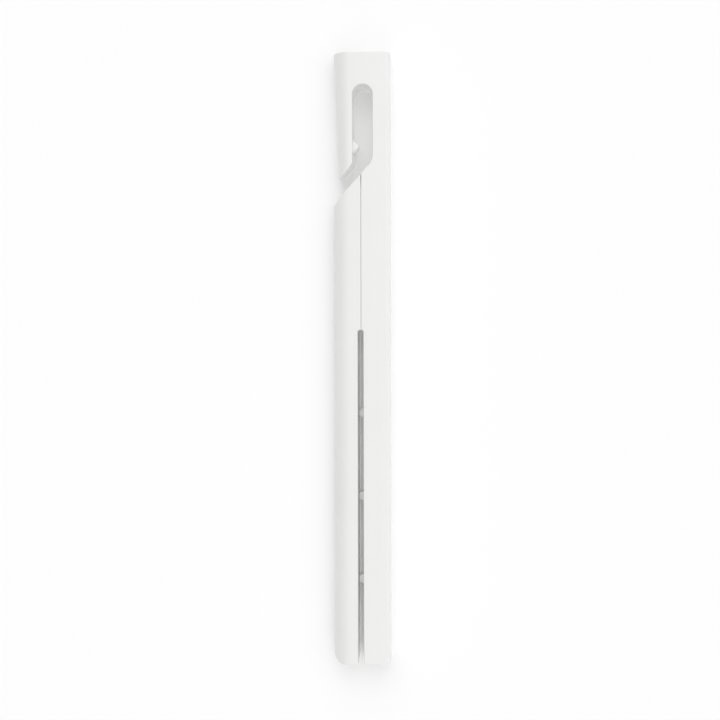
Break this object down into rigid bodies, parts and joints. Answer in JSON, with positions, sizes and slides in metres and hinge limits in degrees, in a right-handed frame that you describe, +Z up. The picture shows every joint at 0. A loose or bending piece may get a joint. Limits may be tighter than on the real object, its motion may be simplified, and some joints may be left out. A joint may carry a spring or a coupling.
{
  "type": "hanging clip bar",
  "caption": "Tall hook-ended clip bar: a spring-closed jaw and a toothed open-ended slot grip sheets or cloth, and the hook hangs on a rod.",
  "frame": {"origin": "centre of the hook's round seat, at the flat back face", "axes": "+Z up as it hangs, +X to the right seen from the front, the front faces -Y and the flat back lies in Y = 0"},
  "size_m": [0.0282, 0.0152, 0.3],
  "materials": {
    "white_plastic": "satin",
    "soft_grip": "matte",
    "steel": "satin",
    "zinc_plated_steel": "satin",
    "spring_steel": "satin",
    "brass": "satin"
  },
  "bodies": {
    "hook_bar": {"hook_bar_shell": "white_plastic", "hook_bar_cover": "white_plastic", "tooth_strip": "white_plastic", "hinge_plate": "zinc_plated_steel", "pivot_bush": "brass", "hook_bar_stiffener": "zinc_plated_steel", "hook_bar_cover_screws": "steel", "hinge_plate_screws": "steel"},
    "jaw": {"jaw_shell": "white_plastic", "jaw_cover": "white_plastic", "grip_strip": "soft_grip", "pivot_pin": "steel", "pivot_washer": "steel", "closing_spring": "spring_steel", "jaw_stiffener": "zinc_plated_steel", "jaw_cover_screws": "steel"}
  },
  "joints": [
    {"name": "jaw_hinge", "type": "hinge", "parent": "hook_bar", "child": "jaw", "pos_m": [-0.00458, -0.0051, -0.0494], "axis": [0, 1, 0], "range_deg": [0, 2.2], "stiffness_Nm_per_rad": 0.197, "springref_deg": -40.11}
  ]
}
